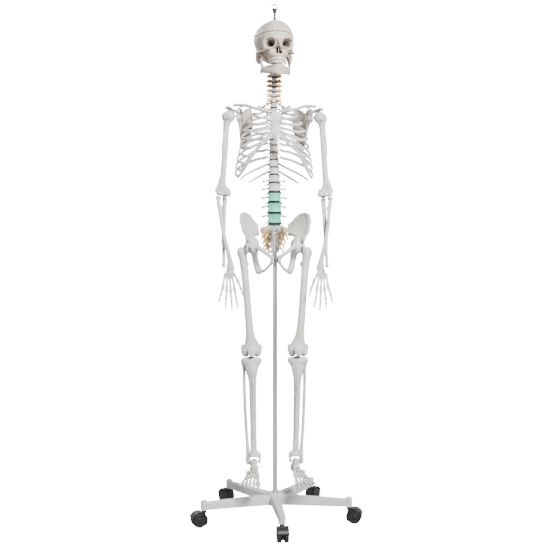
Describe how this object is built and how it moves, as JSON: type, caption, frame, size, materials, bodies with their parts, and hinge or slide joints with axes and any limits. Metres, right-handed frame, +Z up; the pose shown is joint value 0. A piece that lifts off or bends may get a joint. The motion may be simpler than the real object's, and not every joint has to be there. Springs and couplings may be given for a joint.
{
  "type": "human skeleton model",
  "caption": "Life-size jointed human skeleton for the classroom, pelvis-mounted on a steel pole with a star-shaped roller base.",
  "frame": {"origin": "middle of the stand's footprint on the floor; the pole's axis is 23.5 mm behind it", "axes": "+Z up; the figure faces -Y; +X is the figure's left side"},
  "size_m": [0.5938, 0.5647, 1.815],
  "materials": {
    "base_frame": "white-grey powder coat",
    "base_lock_screw": "black moulded plastic",
    "caster_fork_1": "black moulded plastic",
    "caster_wheels_1": "black moulded plastic",
    "caster_fork_2": "black moulded plastic",
    "caster_wheels_2": "black moulded plastic",
    "caster_fork_3": "black moulded plastic",
    "caster_wheels_3": "black moulded plastic",
    "caster_fork_4": "black moulded plastic",
    "caster_wheels_4": "black moulded plastic",
    "caster_fork_5": "black moulded plastic",
    "caster_wheels_5": "black moulded plastic",
    "pole": "polished",
    "sacrum": "cast bone plastic, warm off-white",
    "hip_bone_left": "cast bone plastic, warm off-white",
    "hip_bone_right": "cast bone plastic, warm off-white",
    "vertebra_l5": "bone plastic tinted mint green",
    "vertebra_l4": "bone plastic tinted mint green",
    "vertebra_l3": "bone plastic tinted mint green",
    "vertebra_l2": "cast bone plastic, warm off-white",
    "vertebra_l1": "cast bone plastic, warm off-white",
    "thoracic_spine": "cast bone plastic, warm off-white",
    "rib_cage": "cast bone plastic, warm off-white",
    "clavicle_left": "cast bone plastic, warm off-white",
    "clavicle_right": "cast bone plastic, warm off-white",
    "scapula_left": "cast bone plastic, warm off-white",
    "scapula_right": "cast bone plastic, warm off-white",
    "vertebra_c7": "cast bone plastic, warm off-white",
    "vertebra_c6": "cast bone plastic, warm off-white",
    "vertebra_c5": "cast bone plastic, warm off-white",
    "vertebra_c4": "cast bone plastic, warm off-white",
    "vertebra_c3": "cast bone plastic, warm off-white",
    "axis": "cast bone plastic, warm off-white",
    "atlas": "cast bone plastic, warm off-white",
    "cranium": "cast bone plastic, warm off-white",
    "mandible": "cast bone plastic, warm off-white",
    "skull_cap": "cast bone plastic, warm off-white",
    "eye_hook": "polished",
    "shoulder_pin_left": "polished",
    "humerus_left": "cast bone plastic, warm off-white",
    "ulna_left": "cast bone plastic, warm off-white",
    "radius_left": "cast bone plastic, warm off-white",
    "hand_left": "cast bone plastic, warm off-white",
    "hip_pin_left": "polished",
    "femur_left": "cast bone plastic, warm off-white",
    "patella_left": "cast bone plastic, warm off-white",
    "tibia_fibula_left": "cast bone plastic, warm off-white",
    "foot_left": "cast bone plastic, warm off-white",
    "shoulder_pin_right": "polished",
    "humerus_right": "cast bone plastic, warm off-white",
    "ulna_right": "cast bone plastic, warm off-white",
    "radius_right": "cast bone plastic, warm off-white",
    "hand_right": "cast bone plastic, warm off-white",
    "hip_pin_right": "polished",
    "femur_right": "cast bone plastic, warm off-white",
    "patella_right": "cast bone plastic, warm off-white",
    "tibia_fibula_right": "cast bone plastic, warm off-white",
    "foot_right": "cast bone plastic, warm off-white"
  },
  "bodies": {
    "base": {"base_frame": "base_frame", "base_lock_screw": "base_lock_screw"},
    "caster_1": {"caster_fork_1": "caster_fork_1"},
    "wheels_1": {"caster_wheels_1": "caster_wheels_1"},
    "caster_2": {"caster_fork_2": "caster_fork_2"},
    "wheels_2": {"caster_wheels_2": "caster_wheels_2"},
    "caster_3": {"caster_fork_3": "caster_fork_3"},
    "wheels_3": {"caster_wheels_3": "caster_wheels_3"},
    "caster_4": {"caster_fork_4": "caster_fork_4"},
    "wheels_4": {"caster_wheels_4": "caster_wheels_4"},
    "caster_5": {"caster_fork_5": "caster_fork_5"},
    "wheels_5": {"caster_wheels_5": "caster_wheels_5"},
    "pelvis": {"pole": "pole", "sacrum": "sacrum", "hip_bone_left": "hip_bone_left", "hip_bone_right": "hip_bone_right"},
    "l5": {"vertebra_l5": "vertebra_l5"},
    "l4": {"vertebra_l4": "vertebra_l4"},
    "l3": {"vertebra_l3": "vertebra_l3"},
    "l2": {"vertebra_l2": "vertebra_l2"},
    "l1": {"vertebra_l1": "vertebra_l1"},
    "thorax": {"thoracic_spine": "thoracic_spine", "rib_cage": "rib_cage", "clavicle_left": "clavicle_left", "clavicle_right": "clavicle_right", "scapula_left": "scapula_left", "scapula_right": "scapula_right"},
    "c7": {"vertebra_c7": "vertebra_c7"},
    "c6": {"vertebra_c6": "vertebra_c6"},
    "c5": {"vertebra_c5": "vertebra_c5"},
    "c4": {"vertebra_c4": "vertebra_c4"},
    "c3": {"vertebra_c3": "vertebra_c3"},
    "axis_vertebra": {"axis": "axis"},
    "atlas_vertebra": {"atlas": "atlas"},
    "head": {"cranium": "cranium"},
    "jaw": {"mandible": "mandible"},
    "cap": {"skull_cap": "skull_cap", "eye_hook": "eye_hook"},
    "shoulder_pin_left": {"shoulder_pin_left": "shoulder_pin_left"},
    "upper_arm_left": {"humerus_left": "humerus_left"},
    "ulna_left": {"ulna_left": "ulna_left"},
    "radius_left": {"radius_left": "radius_left"},
    "hand_left": {"hand_left": "hand_left"},
    "hip_pin_left": {"hip_pin_left": "hip_pin_left"},
    "thigh_left": {"femur_left": "femur_left", "patella_left": "patella_left"},
    "shin_left": {"tibia_fibula_left": "tibia_fibula_left"},
    "foot_left": {"foot_left": "foot_left"},
    "shoulder_pin_right": {"shoulder_pin_right": "shoulder_pin_right"},
    "upper_arm_right": {"humerus_right": "humerus_right"},
    "ulna_right": {"ulna_right": "ulna_right"},
    "radius_right": {"radius_right": "radius_right"},
    "hand_right": {"hand_right": "hand_right"},
    "hip_pin_right": {"hip_pin_right": "hip_pin_right"},
    "thigh_right": {"femur_right": "femur_right", "patella_right": "patella_right"},
    "shin_right": {"tibia_fibula_right": "tibia_fibula_right"},
    "foot_right": {"foot_right": "foot_right"}
  },
  "joints": [
    {"name": "caster_1_swivel", "type": "hinge", "parent": "base", "child": "caster_1", "pos_m": [0, -0.23851, 0.0535], "axis": [0, 0, 1], "continuous": true},
    {"name": "wheels_1_spin", "type": "hinge", "parent": "caster_1", "child": "wheels_1", "pos_m": [0, -0.25851, 0.024], "axis": [1, 0, 0], "continuous": true},
    {"name": "caster_2_swivel", "type": "hinge", "parent": "base", "child": "caster_2", "pos_m": [0.24918, -0.05747, 0.0535], "axis": [0, 0, 1], "continuous": true},
    {"name": "wheels_2_spin", "type": "hinge", "parent": "caster_2", "child": "wheels_2", "pos_m": [0.2682, -0.06365, 0.024], "axis": [0.309, 0.9511, 0], "continuous": true},
    {"name": "caster_3_swivel", "type": "hinge", "parent": "base", "child": "caster_3", "pos_m": [0.154, 0.23545, 0.0535], "axis": [0, 0, 1], "continuous": true},
    {"name": "wheels_3_spin", "type": "hinge", "parent": "caster_3", "child": "wheels_3", "pos_m": [0.16576, 0.25163, 0.024], "axis": [-0.809, 0.5878, 0], "continuous": true},
    {"name": "caster_4_swivel", "type": "hinge", "parent": "base", "child": "caster_4", "pos_m": [-0.154, 0.23545, 0.0535], "axis": [0, 0, 1], "continuous": true},
    {"name": "wheels_4_spin", "type": "hinge", "parent": "caster_4", "child": "wheels_4", "pos_m": [-0.16576, 0.25163, 0.024], "axis": [-0.809, -0.5878, 0], "continuous": true},
    {"name": "caster_5_swivel", "type": "hinge", "parent": "base", "child": "caster_5", "pos_m": [-0.24918, -0.05747, 0.0535], "axis": [0, 0, 1], "continuous": true},
    {"name": "wheels_5_spin", "type": "hinge", "parent": "caster_5", "child": "wheels_5", "pos_m": [-0.2682, -0.06365, 0.024], "axis": [0.309, -0.9511, 0], "continuous": true},
    {"name": "pole_turn", "type": "hinge", "parent": "base", "child": "pelvis", "pos_m": [0, 0.02349, 0.06], "axis": [0, 0, 1], "continuous": true},
    {"name": "lumbar_bend", "type": "hinge", "parent": "pelvis", "child": "l5", "pos_m": [0, 0.04449, 1.0405], "axis": [1, 0, 0], "range_deg": [-2, 4]},
    {"name": "l4_bend", "type": "hinge", "parent": "l5", "child": "l4", "pos_m": [0, 0.04149, 1.077], "axis": [1, 0, 0], "range_deg": [-2, 4]},
    {"name": "l3_bend", "type": "hinge", "parent": "l4", "child": "l3", "pos_m": [0, 0.04249, 1.1135], "axis": [1, 0, 0], "range_deg": [-2, 4]},
    {"name": "l2_bend", "type": "hinge", "parent": "l3", "child": "l2", "pos_m": [0, 0.04649, 1.148], "axis": [1, 0, 0], "range_deg": [-2, 4]},
    {"name": "l1_bend", "type": "hinge", "parent": "l2", "child": "l1", "pos_m": [0, 0.05249, 1.179], "axis": [1, 0, 0], "range_deg": [-2, 4]},
    {"name": "thorax_bend", "type": "hinge", "parent": "l1", "child": "thorax", "pos_m": [0, 0.05649, 1.209], "axis": [1, 0, 0], "range_deg": [-2, 4]},
    {"name": "neck_bend", "type": "hinge", "parent": "thorax", "child": "c7", "pos_m": [0, 0.05849, 1.473], "axis": [1, 0, 0], "range_deg": [-3, 4]},
    {"name": "c6_bend", "type": "hinge", "parent": "c7", "child": "c6", "pos_m": [0, 0.05449, 1.489], "axis": [1, 0, 0], "range_deg": [-3, 4]},
    {"name": "c5_bend", "type": "hinge", "parent": "c6", "child": "c5", "pos_m": [0, 0.05049, 1.505], "axis": [1, 0, 0], "range_deg": [-3, 4]},
    {"name": "c4_bend", "type": "hinge", "parent": "c5", "child": "c4", "pos_m": [0, 0.04749, 1.522], "axis": [1, 0, 0], "range_deg": [-3, 4]},
    {"name": "c3_bend", "type": "hinge", "parent": "c4", "child": "c3", "pos_m": [0, 0.04649, 1.538], "axis": [1, 0, 0], "range_deg": [-3, 4]},
    {"name": "axis_bend", "type": "hinge", "parent": "c3", "child": "axis_vertebra", "pos_m": [0, 0.04749, 1.556], "axis": [1, 0, 0], "range_deg": [-3, 4]},
    {"name": "head_turn", "type": "hinge", "parent": "axis_vertebra", "child": "atlas_vertebra", "pos_m": [0, 0.04849, 1.585], "axis": [0, 0, 1], "range_deg": [-30, 30]},
    {"name": "head_nod", "type": "hinge", "parent": "atlas_vertebra", "child": "head", "pos_m": [-0.00021, 0.05048, 1.599], "axis": [0.9945, 0.1045, 0], "range_deg": [-8, 8]},
    {"name": "jaw_open", "type": "hinge", "parent": "head", "child": "jaw", "pos_m": [0.00115, 0.03755, 1.638], "axis": [0.9945, 0.1045, 0], "range_deg": [0, 18]},
    {"name": "skull_cap_lift", "type": "slide", "parent": "head", "child": "cap", "axis": [0, 0, 1], "range_m": [0, 0.06]},
    {"name": "shoulder_swing_left", "type": "hinge", "parent": "thorax", "child": "shoulder_pin_left", "pos_m": [0.16, 0.03749, 1.414], "axis": [-1, 0, 0], "range_deg": [-20, 90]},
    {"name": "shoulder_raise_left", "type": "hinge", "parent": "shoulder_pin_left", "child": "upper_arm_left", "pos_m": [0.16, 0.03749, 1.414], "axis": [0, -1, 0], "range_deg": [0, 25]},
    {"name": "elbow_bend_left", "type": "hinge", "parent": "upper_arm_left", "child": "ulna_left", "pos_m": [0.186, 0.04449, 1.142], "axis": [-1, 0, 0], "range_deg": [-10, 100]},
    {"name": "forearm_roll_left", "type": "hinge", "parent": "ulna_left", "child": "radius_left", "pos_m": [0.199, 0.04249, 1.126], "axis": [-0.0739, -0.1766, -0.9815], "range_deg": [0, 72]},
    {"name": "wrist_bend_left", "type": "hinge", "parent": "radius_left", "child": "hand_left", "pos_m": [0.162, -0.00451, 0.872], "axis": [1, 0, 0], "range_deg": [-35, 45]},
    {"name": "hip_swing_left", "type": "hinge", "parent": "pelvis", "child": "hip_pin_left", "pos_m": [0.087, 0.02849, 0.953], "axis": [-1, 0, 0], "range_deg": [-12, 60]},
    {"name": "hip_raise_left", "type": "hinge", "parent": "hip_pin_left", "child": "thigh_left", "pos_m": [0.087, 0.02849, 0.953], "axis": [0, -1, 0], "range_deg": [0, 12]},
    {"name": "knee_bend_left", "type": "hinge", "parent": "thigh_left", "child": "shin_left", "pos_m": [0.082, 0.03149, 0.585], "axis": [1, 0, 0], "range_deg": [0, 110]},
    {"name": "ankle_bend_left", "type": "hinge", "parent": "shin_left", "child": "foot_left", "pos_m": [0.074, 0.03149, 0.201], "axis": [1, 0, 0], "range_deg": [-15, 30]},
    {"name": "shoulder_swing_right", "type": "hinge", "parent": "thorax", "child": "shoulder_pin_right", "pos_m": [-0.16, 0.03749, 1.414], "axis": [-1, 0, 0], "range_deg": [-20, 90]},
    {"name": "shoulder_raise_right", "type": "hinge", "parent": "shoulder_pin_right", "child": "upper_arm_right", "pos_m": [-0.16, 0.03749, 1.414], "axis": [0, 1, 0], "range_deg": [0, 25]},
    {"name": "elbow_bend_right", "type": "hinge", "parent": "upper_arm_right", "child": "ulna_right", "pos_m": [-0.186, 0.04449, 1.142], "axis": [-1, 0, 0], "range_deg": [-10, 100]},
    {"name": "forearm_roll_right", "type": "hinge", "parent": "ulna_right", "child": "radius_right", "pos_m": [-0.199, 0.04249, 1.126], "axis": [-0.0739, 0.1766, 0.9815], "range_deg": [0, 72]},
    {"name": "wrist_bend_right", "type": "hinge", "parent": "radius_right", "child": "hand_right", "pos_m": [-0.162, -0.00451, 0.872], "axis": [1, 0, 0], "range_deg": [-35, 45]},
    {"name": "hip_swing_right", "type": "hinge", "parent": "pelvis", "child": "hip_pin_right", "pos_m": [-0.087, 0.02849, 0.953], "axis": [-1, 0, 0], "range_deg": [-12, 60]},
    {"name": "hip_raise_right", "type": "hinge", "parent": "hip_pin_right", "child": "thigh_right", "pos_m": [-0.087, 0.02849, 0.953], "axis": [0, 1, 0], "range_deg": [0, 12]},
    {"name": "knee_bend_right", "type": "hinge", "parent": "thigh_right", "child": "shin_right", "pos_m": [-0.082, 0.03149, 0.585], "axis": [1, 0, 0], "range_deg": [0, 110]},
    {"name": "ankle_bend_right", "type": "hinge", "parent": "shin_right", "child": "foot_right", "pos_m": [-0.074, 0.03149, 0.201], "axis": [1, 0, 0], "range_deg": [-15, 30]}
  ],
  "couplings": [
    {"joint": "l4_bend", "follows": "lumbar_bend", "ratio": 1},
    {"joint": "l3_bend", "follows": "lumbar_bend", "ratio": 1},
    {"joint": "l2_bend", "follows": "lumbar_bend", "ratio": 1},
    {"joint": "l1_bend", "follows": "lumbar_bend", "ratio": 1},
    {"joint": "thorax_bend", "follows": "lumbar_bend", "ratio": 1},
    {"joint": "c6_bend", "follows": "neck_bend", "ratio": 1},
    {"joint": "c5_bend", "follows": "neck_bend", "ratio": 1},
    {"joint": "c4_bend", "follows": "neck_bend", "ratio": 1},
    {"joint": "c3_bend", "follows": "neck_bend", "ratio": 1},
    {"joint": "axis_bend", "follows": "neck_bend", "ratio": 1}
  ]
}
